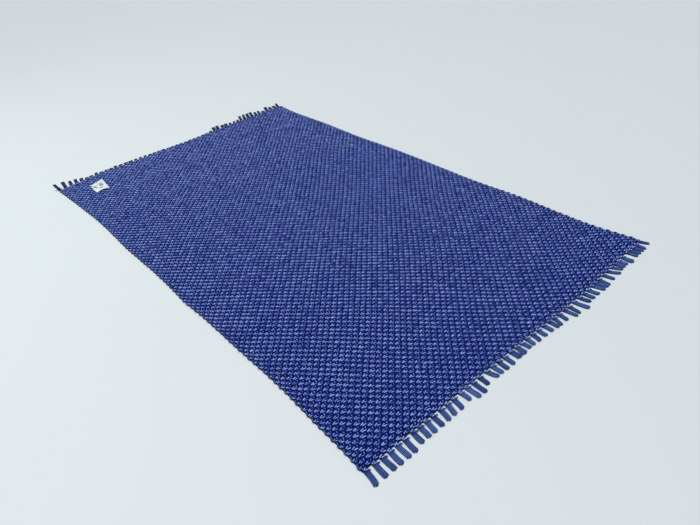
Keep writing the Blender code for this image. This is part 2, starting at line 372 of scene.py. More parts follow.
class Tree:
    """The node tree of one material, with its Principled shader."""

    def __init__(self, name: str, roughness: float, gloss: float = 0.5) -> None:
        """Make the material.

        Args:
            name: The material's name.
            roughness: The shader's plain roughness.
            gloss: How strongly it mirrors.
        """
        self.material = bpy.data.materials.new(name)
        self.material.use_nodes = True
        self.nodes = self.material.node_tree.nodes
        self.links = self.material.node_tree.links
        self.shader = self.nodes["Principled BSDF"]
        self.shader.inputs["Roughness"].default_value = roughness
        self.shader.inputs["Specular IOR Level"].default_value = gloss

    def node(self, kind: str, settings: dict, sockets: dict) -> bpy.types.Node:
        """Add a node.

        Args:
            kind: The node's type.
            settings: Its properties, which are set first.
            sockets: For each input, by name or number, its value or what it is linked to.

        Returns:
            The node.
        """
        node = self.nodes.new(kind)
        for key, value in settings.items():
            setattr(node, key, value)
        for key, value in sockets.items():
            self.feed(node.inputs[key], value)
        return node

    def feed(self, socket: bpy.types.NodeSocket, value: object) -> None:
        """Link a socket, or else set it.

        Args:
            socket: The input that is fed.
            value: A wrapped or plain socket to link, or a number, colour or vector to set.
        """
        if isinstance(value, Value):
            self.links.new(value.socket, socket)
        elif isinstance(value, bpy.types.NodeSocket):
            self.links.new(value, socket)
        elif isinstance(value, tuple) and socket.type == "RGBA":
            socket.default_value = (*value, 1.0)
        else:
            socket.default_value = value

    def paint(self, colour: object) -> None:
        """Feed the shader's colour."""
        self.feed(self.shader.inputs["Base Color"], colour)

    def attribute(self, name: str) -> Value:
        """Read a number stored on the mesh's vertices."""
        node = self.node("ShaderNodeAttribute", {"attribute_name": name}, {})
        return Value(self, node.outputs["Fac"])

    def noise(self, place: object, scale: float, detail: float = 2.0) -> Value:
        """Read a noise that lies between 0 and 1.

        Args:
            place: Where to read it.
            scale: How many of its largest clouds fit into one unit.
            detail: How many finer layers it has.

        Returns:
            The noise.
        """
        sockets = {"Vector": place, "Scale": scale, "Detail": detail}
        node = self.node("ShaderNodeTexNoise", {}, sockets)
        return Value(self, node.outputs["Fac"])

    def stretched(self, place: object, scale: Place) -> bpy.types.NodeSocket:
        """Scale a place by a different amount on each axis."""
        node = self.node("ShaderNodeVectorMath", {"operation": "MULTIPLY"}, {0: place, 1: scale})
        return node.outputs[0]

    def strand(self) -> tuple[bpy.types.NodeSocket, Value, Value]:
        """Read the places on a strand.

        Returns:
            The place as a vector, and how far it lies along the strand and across it.
        """
        place = self.node("ShaderNodeUVMap", {"uv_map": "strand"}, {}).outputs[0]
        parts = self.node("ShaderNodeSeparateXYZ", {}, {0: place})
        return place, Value(self, parts.outputs[0]), Value(self, parts.outputs[1])

    def blend(self, share: object, first: object, second: object) -> bpy.types.NodeSocket:
        """Mix two colours, all of the second at a share of 1."""
        node = self.node("ShaderNodeMix", {"data_type": "RGBA"}, {0: share, 6: first, 7: second})
        return node.outputs[2]

    def bump(self, height: object, distance: float, strength: float = 1.0) -> None:
        """Raise the surface by a height, and feed the shader's normal.

        Args:
            height: The height, from 0 to about 1.
            distance: How far a height of 1 stands out, in metres.
            strength: How much of the change is used.
        """
        sockets = {"Strength": strength, "Distance": distance, "Height": height}
        node = self.node("ShaderNodeBump", {}, sockets)
        self.links.new(node.outputs[0], self.shader.inputs["Normal"])


# Finishes

YARN_GLOSS = 0.03


@dataclass(frozen=True)
class YarnFinish:
    """Thick synthetic yarn: fine fibres along each strand, painted shade in the depth and a painted
    highlight on each crest.

    Attributes:
        name: The material's name.
        deep: Colour of the painted shade in the depth between strands.
        dark: Colour half way up a strand, between painted shade and painted highlight.
        light: Colour of the painted highlight on a strand's crest.
        roughness: Its middle roughness, which the fibres vary.
        fibre: How far the fibres stand out, in metres.
        fibre_grain: How fine the fibres are along and across a strand, in clouds to the metre.
        fleck_grain: The same of the flecks.
    """

    name: str
    deep: Colour
    dark: Colour
    light: Colour
    roughness: float = 0.5
    fibre: float = 0.0005
    fibre_grain: Place = (160.0, 1900.0, 1.0)
    fleck_grain: Place = (90.0, 420.0, 1.0)

    def make(self) -> bpy.types.Material:
        """Make the material.

        The level is the crest, which is painted light, changed a little by the tone, by flecks and by
        fibres, which are noise drawn out along the strand. The colour goes with it from deep, the
        painted shade, over dark to light, the painted highlight.
        Twist is a slanted sine of both strand places.

        Returns:
            The material.
        """
        tree = Tree(self.name, self.roughness, YARN_GLOSS)
        place, along, across = tree.strand()
        tone, crest = tree.attribute("tone"), tree.attribute("crest")
        fibres = tree.noise(tree.stretched(place, self.fibre_grain), 1.0, 3.0)
        flecks = tree.noise(tree.stretched(place, self.fleck_grain), 1.0, 2.0)
        twist = (along * 900.0 + across * 1500.0).sine() * 0.5 + 0.5
        # The crest paints light and shade: painted shade deep in the weave, a painted highlight on top.
        level = crest + (tone - 0.5) * 0.5 + (flecks - 0.5) * 0.35 + (fibres - 0.5) * 0.3
        body = tree.blend(level.rise(0.12, 0.66), self.deep, self.dark)
        tree.paint(tree.blend(level.rise(0.48, 0.95), body, self.light))
        tree.feed(tree.shader.inputs["Roughness"], fibres * 0.25 + (self.roughness - 0.12))
        tree.bump(fibres * 0.7 + twist * 0.3, self.fibre, 0.6)
        return tree.material


@dataclass(frozen=True)
class WeaveFinish:
    """The weave's shadowed inside, or its underside drawn as a plain weave in colour and bump.

    Attributes:
        name: The material's name.
        gap: Colour between the yarns; on the inside it is the painted shade in each hole.
        yarn: Colour of the yarns, where they are drawn.
        drawn: Whether the weave's floats are drawn.
    """

    name: str
    gap: Colour
    yarn: Colour
    drawn: bool

    def make(self) -> bpy.types.Material:
        """Make the material.

        The strand places here count ends and picks. The run is the ends' count within a step of
        two, shifted by one on every other pick. On the underside a float is drawn in the middle
        of each run. On the inside a dark ellipse near the run's end is painted shade in the hole
        that lies just left of each float above.

        Returns:
            The material.
        """
        tree = Tree(self.name, 0.75, YARN_GLOSS)
        place, ends, picks = tree.strand()
        grain = tree.noise(tree.stretched(place, (9.0, 9.0, 1.0)), 1.0, 3.0)
        row = picks.remainder(1.0)
        odd = picks.remainder(2.0) - row
        run = (ends + odd).remainder(2.0)
        if not self.drawn:
            # Painted shade: the inside is near-black, darkest in an ellipse at each hole beside a float.
            aside, ahead = (run - 1.79) / 0.20, (row - 0.52) / 0.34
            yarns = (aside * aside + ahead * ahead).rise(0.3, 1.6) * (grain * 0.5 + 0.6)
            tree.paint(tree.blend(yarns, self.gap, self.yarn))
            tree.bump(grain, 0.0008)
            return tree.material
        over = 1.0 - ((run - 1.0).size().rise(0.55, 0.85))
        band = 1.0 - ((row - 0.5).size().rise(0.28, 0.46))
        plies = (row * 18.85 + run * 1.6).sine().size()
        height = over * band * (plies * 0.3 + 0.7)
        tree.paint(tree.blend(height * (grain * 0.5 + 0.6), self.gap, self.yarn))
        tree.bump(height + grain * 0.2, 0.003)
        return tree.material


# name, deep (painted shade), dark, light (painted highlight)
YARNS = (
    YarnFinish("weft yarn", (0.001, 0.006, 0.09), (0.024, 0.066, 0.42), (0.39, 0.52, 0.96)),
    YarnFinish("warp yarn", (0.001, 0.006, 0.09), (0.023, 0.060, 0.39), (0.27, 0.39, 0.86)),
    # The selvedge yarn is far darker than the weft: painted shade on the cloth's sides.
    YarnFinish("selvedge yarn", (0.001, 0.003, 0.02), (0.008, 0.017, 0.075), (0.050, 0.080, 0.25)),
    YarnFinish("near fringe yarn", (0.002, 0.008, 0.055), (0.022, 0.058, 0.22), (0.11, 0.21, 0.56)),
    YarnFinish("far fringe yarn", (0.002, 0.006, 0.025), (0.015, 0.031, 0.085), (0.070, 0.115, 0.25)),
)
# name, gap, yarn, drawn
WEAVES = (
    # The inside's gap and yarn colours are painted shade in the weave's depth.
    WeaveFinish("weave inside", (0.0005, 0.003, 0.03), (0.005, 0.018, 0.16), False),
    WeaveFinish("weave underside", (0.006, 0.012, 0.06), (0.075, 0.115, 0.38), True),
)


@dataclass(frozen=True)
class LabelFinish:
    """White woven label cloth with two plain grey-green bars.

    Attributes:
        name: The material's name.
        white: Colour of the cloth.
        grey: Colour of the painted shade on it.
        bar: Colour of the bars and of the painted shadow along the crease.
        bars: For each bar, its middle and half its size along, and its left and right side.
    """

    name: str = "label cloth"
    white: Colour = (0.72, 0.79, 0.79)
    grey: Colour = (0.34, 0.40, 0.46)
    bar: Colour = (0.10, 0.14, 0.10)
    bars: Rows = ((0.060, 0.010, 0.040, 0.061), (0.037, 0.006, 0.032, 0.052))

    def make(self) -> bpy.types.Material:
        """Make the material.

        The strand places are metres from the label's near left corner. Each bar is where both
        places lie inside its box, with soft sides. A noise greys the cloth in clouds as painted
        shade. A dark line of painted shadow slants in along the crease from its left side. The
        cloth is a fine sine weave.

        Returns:
            The material.
        """
        tree = Tree(self.name, 0.6)
        place, across, along = tree.strand()
        weave = (across * 5200.0).sine() * (along * 5200.0).sine() * 0.5 + 0.5
        painted_shade_noise = tree.noise(place, 60.0, 3.0)
        marks: Value | None = None
        for middle, half, left, right in self.bars:
            rows = 1.0 - (along - middle).size().rise(half - 0.001, half + 0.001)
            columns = across.rise(left, left + 0.002) * (1.0 - across.rise(right - 0.002, right))
            marks = rows * columns if marks is None else marks + rows * columns
        # Painted shade: a noise greys the cloth in soft clouds.
        white = tree.blend(painted_shade_noise.rise(0.35, 0.65) * 0.7, self.white, self.grey)
        # Painted shadow: a dark line along the crease that slants in from the left side.
        painted_crease_shadow = 1.0 - (along - 0.085 + across * 1.5).size().rise(0.003, 0.009)
        painted_crease_shadow = painted_crease_shadow * (1.0 - across.rise(0.022, 0.030))
        white = tree.blend(painted_crease_shadow, white, self.bar)
        tree.paint(tree.blend(marks * (weave * 0.2 + 0.75), white, self.bar))
        tree.bump(weave + marks * 0.6, 0.00015, 0.7)
        return tree.material


@dataclass(frozen=True)
class ThreadFinish:
    """White sewing thread, with painted shade between its turns."""

    name: str = "sewing thread"
    colour: Colour = (0.74, 0.76, 0.78)
    grey: Colour = (0.5, 0.52, 0.56)

    def make(self) -> bpy.types.Material:
        """Make the material: a slanted sine for the thread's twist, greyed between its turns as painted
        shade.

        Returns:
            The material.
        """
        tree = Tree(self.name, 0.55)
        _, along, across = tree.strand()
        twist = (along * 9000.0 + across * 6000.0).sine() * 0.5 + 0.5
        # Painted shade between the thread's turns.
        tree.paint(tree.blend(twist * 0.4, self.colour, self.grey))
        tree.bump(twist, 0.0001)
        return tree.material


@dataclass(frozen=True)
class FloorFinish:
    """Plain pale floor."""

    name: str = "pale floor"
    colour: Colour = (0.594, 0.646, 0.665)

    def make(self) -> bpy.types.Material:
        """Make the material: one pale colour with a faint slow cloud in its roughness.

        Returns:
            The material.
        """
        tree = Tree(self.name, 0.6)
        place = tree.node("ShaderNodeTexCoord", {}, {}).outputs["Object"]
        cloud = tree.noise(place, 1.3, 1.0)
        tree.paint(self.colour)
        tree.feed(tree.shader.inputs["Roughness"], cloud * 0.1 + 0.55)
        return tree.material


# The cloth's layout


@dataclass
class ClothLayout:
    """Where the weave lies: the cloth's outline, its warp ends and picks, and its low waves.

    A place on the cloth is given by ends, counted from the left side, and picks, counted from
    the near end. All tables are the same as the solid's.

    Attributes:
        width: Plain width of the cloth.
        length: Plain length of the cloth without its fringe.
        ends: Number of warp ends.
        picks: Number of weft picks.
        tight: How much closer than elsewhere the ends stand at the very side.
        tight_from: Where they start to close up, as a share of the half width.
        columns: Places across, from -1 to 1, between which both short ends are straight.
        left_edge: How far the left side lies outside the plain width, along the side.
        right_edge: The same of the right side.
        near_edge: How far the near end lies outside the plain length, across it.
        far_edge: The same of the far end.
        roll_waves: For each low wave, where it lies along, its spread and its height, and the
            middle and half the length of its ridge across.
    """

    width: float = 1.485
    length: float = 2.530
    ends: int = 102
    picks: int = 160
    tight: float = 0.35
    tight_from: float = 0.93
    columns: tuple[float, ...] = (-1.0, -0.92, -0.70, -0.47, -0.23, 0.0, 0.23, 0.47, 0.70, 0.92, 1.0)
    # place along the side from -1 to 1, outward
    left_edge: Rows = (
        (-1.00, 0.018), (-0.93, 0.011), (-0.81, 0.005), (-0.69, -0.003), (-0.43, -0.003),
        (-0.24, -0.003), (-0.16, 0.002), (-0.04, -0.003), (0.08, -0.005), (0.32, -0.001),
        (0.47, -0.006), (0.63, -0.006), (0.73, 0.000), (0.85, 0.007), (1.00, 0.017),
    )
    right_edge: Rows = (
        (-1.00, 0.023), (-0.93, 0.010), (-0.87, 0.001), (-0.69, 0.000), (-0.57, 0.006),
        (-0.31, -0.003), (-0.16, 0.002), (0.04, 0.007), (0.20, 0.005), (0.32, -0.001),
        (0.47, 0.001), (0.61, 0.005), (0.76, 0.000), (0.94, 0.005), (1.00, 0.016),
    )
    # place across the end from -1 to 1, outward
    near_edge: Rows = (
        (-1.00, -0.009), (-0.40, -0.006), (0.00, -0.003), (0.34, 0.007), (0.66, -0.004),
        (1.00, -0.013),
    )
    far_edge: Rows = (
        (-1.00, -0.001), (-0.80, 0.016), (-0.40, 0.012), (0.00, -0.003), (0.30, 0.003),
        (0.70, 0.007), (1.00, -0.005),
    )
    # along, spread, height, middle, reach
    roll_waves: Rows = (
        (1.165, 0.040, 0.0015, 0.10, 0.90),
        (0.950, 0.050, 0.0016, 0.20, 0.90),
        (0.750, 0.050, 0.0015, 0.00, 0.90),
        (0.550, 0.045, 0.0014, 0.05, 0.95),
        (0.330, 0.050, 0.0013, -0.10, 0.90),
        (0.090, 0.055, 0.0008, 0.15, 0.70),
        (-0.180, 0.045, 0.0018, -0.35, 0.55),
        (-0.440, 0.050, 0.0010, -0.40, 0.50),
        (-0.760, 0.070, 0.0008, 0.10, 0.80),
    )

    def __post_init__(self) -> None:
        """Work out how the ends close up at the sides: the running sum of their own spacing."""
        even = np.linspace(-1.0, 1.0, 1001)
        spacing = 1.0 - self.tight * smooth_step(np.abs(even), self.tight_from, 1.0)
        total = np.concatenate([[0.0], np.cumsum((spacing[1:] + spacing[:-1]) / 2)])
        self._even = even
        self._spread = total / total[-1] * 2 - 1

    def side_x(self, along: Array) -> tuple[Array, Array]:
        """Find where both long sides lie.

        Args:
            along: Places along the cloth, from -1 to 1.

        Returns:
            x of the left and of the right side.
        """
        left = -(self.width / 2 + curve(self.left_edge, along))
        right = self.width / 2 + curve(self.right_edge, along)
        return left, right

    def end_y(self, across: Array) -> tuple[Array, Array]:
        """Find where both short ends lie.

        Args:
            across: Places across the cloth, from -1 to 1.

        Returns:
            y of the near and of the far end.
        """
        columns = np.array(self.columns)
        near = -(self.length / 2 + np.interp(across, columns, curve(self.near_edge, columns)))
        far = self.length / 2 + np.interp(across, columns, curve(self.far_edge, columns))
        return near, far

    def place(self, ends: Array, picks: Array) -> tuple[Array, Array]:
        """Find x and y of a place in the weave.

        x runs evenly from the left to the right side of that pick, but for the ends' closing up,
        and y evenly from the near to the far end of that column.

        Args:
            ends: Warp ends from the left side, where whole numbers lie between two ends.
            picks: Picks from the near end, in the same way.

        Returns:
            x and y, in metres.
        """
        along = picks / self.picks * 2 - 1
        across = np.interp(ends / self.ends * 2 - 1, self._even, self._spread)
        left, right = self.side_x(along)
        near, far = self.end_y(across)
        return left + (right - left) * (across + 1) / 2, near + (far - near) * (along + 1) / 2

    def end_at(self, x: Array, pick: float) -> Array:
        """Find which warp ends lie at places x, the other way round than place does.

        Args:
            x: The places, in metres.
            pick: The pick on which they lie.

        Returns:
            The warp ends, counted from the left side.
        """
        left, right = self.side_x(np.array(pick / self.picks * 2 - 1))
        across = (x - left) / (right - left) * 2 - 1
        return (np.interp(across, self._spread, self._even) + 1) / 2 * self.ends

    def wave(self, x: Array, y: Array) -> Array:
        """Find the rise of the low waves: a sum of bell-shaped ridges, each fading sideways.

        Args:
            x: Places across, in metres.
            y: Places along, in metres.

        Returns:
            The rise, in metres.
        """
        rise = np.zeros(np.broadcast(x, y).shape)
        for crest, spread, height, middle, reach in self.roll_waves:
            sideways = np.clip(1 - ((x - middle) / reach) ** 2, 0, 1)
            rise = rise + height * sideways * np.exp(-(((y - crest) / spread) ** 2))
        return rise

    def lay(self, ends: Array, picks: Array, height: Array) -> Array:
        """Places in space of points of the weave, with their height above the floor."""
        x, y = self.place(ends, picks)
        return np.stack([x, y, height + self.wave(x, y)], axis=-1)


# The woven cloth


class Run(Enum):
    """Which way a strand runs: across the rug with the weft, or along it with the warp."""

    WEFT = "weft"
    WARP = "warp"


@dataclass(frozen=True)
class StrandShape:
    """The stretch of one strand that shows between two dives into the weave.

    Attributes:
        run: Which way it runs.
        top: Height of its highest place above the floor.
        rows: From its start to its end: across in ends and along in picks from the middle of its
        cell, half its width in picks or ends, its height as a share of the top, and its shade,
        the painted light, from 0, painted shade deep in the weave, to 1, a painted highlight on
        a crest.
    """

    run: Run
    top: float
    rows: Rows


# across, along, half width, height, shade
FAR_STRAND = StrandShape(
    Run.WEFT,
    0.0092,
    (
        (-0.51, 0.00, 0.10, 0.00, 0.25),
        (-0.36, 0.06, 0.20, 0.92, 1.00),
        (-0.06, 0.13, 0.185, 0.93, 0.72),
        (0.24, 0.18, 0.18, 1.00, 1.00),
        (0.60, 0.30, 0.12, 0.00, 0.20),
    ),
)
# The near strand is painted darker than the far one: painted shade on the side turned from the light
# behind.
NEAR_STRAND = StrandShape(
    Run.WEFT,
    0.0084,
    (
        (-0.44, -0.13, 0.10, 0.00, 0.25),
        (-0.20, -0.19, 0.17, 0.85, 0.64),
        (0.18, -0.23, 0.19, 0.95, 0.84),
        (0.58, -0.33, 0.18, 0.82, 0.66),
        (1.02, -0.55, 0.13, 0.00, 0.35),
    ),
)
# The dash's near half is painted in shade and its far half lit: painted light as from behind.
WARP_DASH = StrandShape(
    Run.WARP,
    0.0078,
    (
        (-0.23, -0.42, 0.08, 0.00, 0.10),
        (-0.17, -0.18, 0.12, 0.70, 0.45),
        (0.00, 0.22, 0.13, 0.95, 0.86),
        (0.11, 0.56, 0.10, 0.00, 0.20),
    ),
)


# From one side of a strand to the other: its places, its height and its painted light, a highlight on
# top and painted shade down its sides, as shares
STRAND_PLACES = np.array([-1.0, -0.36, 0.28, 1.0])
STRAND_PROFILE = np.array([0.0, 0.95, 1.0, 0.0])
STRAND_PAINTED_LIGHT = np.array([0.22, 0.95, 1.0, 0.12])


@dataclass(frozen=True)
class Unevenness:
    """How much like strands differ by chance, as usual amounts.

    Attributes:
        shift: Of a strand's place, in ends and in picks.
        slant: Of a weft strand's direction, in picks for each end.
        lean: Of a warp strand's direction, in ends for each pick.
        width: Of its width, as a share.
        rise: Of its height.
        dye: Of its tone.
        fleck: Of the tone from one place on it to the next.
    """

    shift: float = 0.030
    slant: float = 0.03
    lean: float = 0.05
    width: float = 0.08
    rise: float = 0.0003
    dye: float = 0.16
    fleck: float = 0.10


@dataclass
class Weave:
    """The cloth's yarns: weft floats, warp dashes, the weft's turnings and the sheet below them.

    Attributes:
        layout: Where the weave lies.
        ground_top: Top of the sheet between the yarns, above the floor.
        rim: Where the yarn surfaces end, just inside that sheet.
        margin: How far inside the sides the yarns stay, in ends.
        binding_reach: How far outside the near end its last turns of weft lie, in picks.
        binding_shift: How far left of its lock's middle each of them lies, in ends.
        turn_reach: How far the turnings bulge outward, on the left and on the right.
        turn_inset: How far inside the side a turning's ends lie.
        turn_half: Half the width and half the height of a turning's cross-section.
        turn_height: Height of a turning's middle line above the floor.
        turn_span: Half the stretch of side that a turning takes up, in picks.
        turn_tilt: How far its later end lies above its middle.
        turn_humps: Height of the humps round its cross-section, as a share.
        float_parts: Into how many pieces the floats are parted.
        dash_parts: Into how many pieces the dashes are parted.
        unevenness: How much the strands differ.
    """

    layout: ClothLayout
    ground_top: float = 0.0042
    rim: float = 0.0037
    margin: float = 0.06
    binding_reach: float = 0.22
    binding_shift: float = 0.1
    turn_reach: tuple[float, float] = (0.0048, 0.0064)
    turn_inset: float = 0.0048
    turn_half: tuple[float, float] = (0.0034, 0.0036)
    turn_height: float = 0.0052
    turn_span: float = 0.46
    turn_tilt: float = 0.0010
    turn_humps: float = 0.13
    float_parts: int = 4
    dash_parts: int = 2
    unevenness: Unevenness = Unevenness()

    def cells(self, over: bool, picks: range) -> tuple[Array, Array]:
        """Middles of the cells in which the weft passes over the warp, or under it.

        Args:
            over: True for the weft's floats, False for the warp's dashes.
            picks: The picks wanted.

        Returns:
            Ends and picks of the middles, as flat arrays.
        """
        pick, end = np.meshgrid(np.array(picks), np.arange(self.layout.ends), indexing="ij")
        wanted = ((pick + end) % 2 == 0) == over
        return end[wanted] + 0.5, pick[wanted] + 0.5

    def lay_strands(
        self,
        yarns: YarnMesh,
        shape: StrandShape,
        middles: tuple[Array, Array],
        chance: np.random.Generator,
    ) -> None:
        """Add one strand of a shape to each cell.

        Across a strand t runs from -1 to 1. A point's height is the rim plus the strand's height
        there times a round profile of t, and its crest, the painted light, the shade times another.
        Each strand is shifted, widened, raised and dyed a little by chance.

        Args:
            yarns: Where the strands are collected.
            shape: The strand's shape.
            middles: Ends and picks of the cells' middles.
            chance: The random numbers.
        """
        across, along, half, height, shade = np.array(shape.rows).T[:, None, :, None]
        t = STRAND_PLACES
        end, pick = (middle[:, None, None] for middle in middles)
        jitter = chance.normal(0.0, 1.0, (6, len(end), 1, 1))
        usual = self.unevenness
        ends = end + across + usual.shift * jitter[0]
        picks = pick + along + usual.shift * jitter[1]
        width = half * (1 + usual.width * jitter[2])
        if shape.run is Run.WEFT:
            ends, picks = ends + 0 * t, picks + width * t + usual.slant * jitter[3] * across
        else:
            ends, picks = ends + width * t + usual.lean * jitter[3] * along, picks + 0 * t
        ends = np.clip(ends, self.margin, self.layout.ends - self.margin)
        rise = (shape.top - self.rim + usual.rise * jitter[4]) * height * STRAND_PROFILE
        points = self.layout.lay(ends, picks, self.rim + rise)
        # Painted light: a highlight on the strand's top, painted shade on its sides and where it dives.
        crest = shade * STRAND_PAINTED_LIGHT
        flecks = chance.normal(0.0, usual.fleck, (len(end), across.shape[1], 1))
        tone = 0.5 + usual.dye * jitter[5] + flecks
        step = self.layout.width / self.layout.ends, self.layout.length / self.layout.picks
        places = (ends * step[0], picks * step[1])
        if shape.run is Run.WARP:
            points, crest = points.swapaxes(1, 2), crest.swapaxes(1, 2)
            tone = tone.swapaxes(1, 2)
            places = (places[1].swapaxes(1, 2), places[0].swapaxes(1, 2))
        yarns.add_patches(points, tone, crest, np.stack(np.broadcast_arrays(*places), axis=-1))

    def make_strands(
        self, name: str, shapes: Sequence[StrandShape], parts: int, material: bpy.types.Material
    ) -> list[bpy.types.Object]:
        """Make all the strands of the weft's floats or of the warp's dashes.

        Args:
            name: The pieces' name, before their number.
            shapes: The strands in each cell, all running the same way.
            parts: Into how many pieces they are parted.
            material: The yarn's finish.

        Returns:
            The pieces, from the near end to the far end.
        """
        over = shapes[0].run is Run.WEFT
        steps = np.linspace(0, self.layout.picks, parts + 1).astype(int)
        pieces = []
        for index in range(parts):
            chance = np.random.default_rng(SEED + 10 * over + index)
            middles = self.cells(over, range(steps[index], steps[index + 1]))
            yarns = YarnMesh()
            for shape in shapes:
                self.lay_strands(yarns, shape, middles, chance)
            pieces.append(yarns.make(f"{name}_{index + 1}", material))
        return pieces

    def make_bindings(self, fringe: "Fringe", material: bpy.types.Material) -> bpy.types.Object:
        """Make the last turn of weft over the root of each lock of the near fringe.

        Args:
            fringe: The near fringe.
            material: The yarn's finish.

        Returns:
            The piece.
        """
        chance = np.random.default_rng(SEED + 40)
        ends = self.layout.end_at(fringe.locks()[:, 0], -self.binding_reach)
        yarns = YarnMesh()
        middles = (ends - self.binding_shift, np.full(ends.shape, -self.binding_reach))
        for shape in (FAR_STRAND, NEAR_STRAND):
            self.lay_strands(yarns, shape, middles, chance)
        return yarns.make("near_bindings", material)

    def make_turnings(self, material: bpy.types.Material) -> bpy.types.Object:
        """Make the weft's turnings, where it comes back for the next pick at each side.

        A turning's middle line is half an ellipse round the place between its two picks. On the
        left it joins an even pick to the next, and on the right an odd one. Its cross-section is
        a flattened ring with three humps for the strands. Its crest, the painted light, is lighter
        on the ring's top and falls to painted shade underneath.

        Args:
            material: The yarn's finish.

        Returns:
            The piece with the turnings of both sides.
        """
        yarns = YarnMesh()
        angle = np.linspace(-np.pi / 2, np.pi / 2, 9)[None, :]
        ring = np.linspace(0, 2 * np.pi, 10, endpoint=False)
        chance = np.random.default_rng(SEED + 20)
        for side, first in ((-1, 0), (1, 1)):
            pick = np.arange(first, self.layout.picks - 1, 2)[:, None] + 1.0
            reach = self.turn_reach[first] * (1 + 0.10 * chance.normal(size=(len(pick), 1)))
            lines = pick + self.turn_span * np.sin(angle)
            border = np.full(lines.shape, 0.0 if side < 0 else float(self.layout.ends))
            x, y = self.layout.place(border, lines)
            x = x + side * (reach * np.cos(angle) - self.turn_inset)
            z = self.turn_height + self.turn_tilt * np.sin(angle) + self.layout.wave(x, y)
            middle = np.stack([x, y, z], axis=-1)
            radius = 1 + self.turn_humps * np.cos(3 * ring)
            wide, tall = self.turn_half
            across = wide * (radius * np.cos(ring))[None, None, :]
            above = tall * (radius * np.sin(ring))[None, None, :]
            points = tube_points(middle, across, above, upright=True)
            tone = 0.42 + chance.normal(0.0, 0.10, (len(pick), 1, 1))
            # Painted light: lighter on the top of the ring, painted shade underneath.
            crest = (0.55 + 0.45 * np.sin(ring) * np.abs(radius))[None, None, :]
            length = np.broadcast_to(angle[:, :, None] * 0.009, points.shape[:3])
            places = np.broadcast_arrays(length + pick[:, :, None] * 0.015, ring * 0.004)
            yarns.add_tubes(points, tone, np.clip(crest, 0, 1), np.stack(places, axis=-1))
        return yarns.make("weft_turnings", material)

    def make_ground(self, inside: bpy.types.Material, underside: bpy.types.Material) -> bpy.types.Object:
        """Make the thin sheet between the yarns, from the floor up to their feet.

        Args:
            inside: Finish of its upper face.
            underside: Finish of its lower face, where the weave is drawn.

        Returns:
            The sheet.
        """
        ends = np.linspace(0.10, self.layout.ends - 0.10, 27)
        picks = np.linspace(0.0, self.layout.picks, 85)
        across, along = np.meshgrid(ends, picks)
        top = self.layout.lay(across, along, np.full(across.shape, self.ground_top))
        bottom = top.copy()
        bottom[..., 2] = 0.0
        uv = np.stack([across, along], axis=-1)
        return sheet_shell("woven_ground", top, bottom, uv, (inside, underside))


# The fringe


# Places of a cord's rings, from its start to its tip
CORD_RINGS = np.array([0.0, 0.12, 0.28, 0.45, 0.62, 0.78, 0.90, 0.97, 1.0])


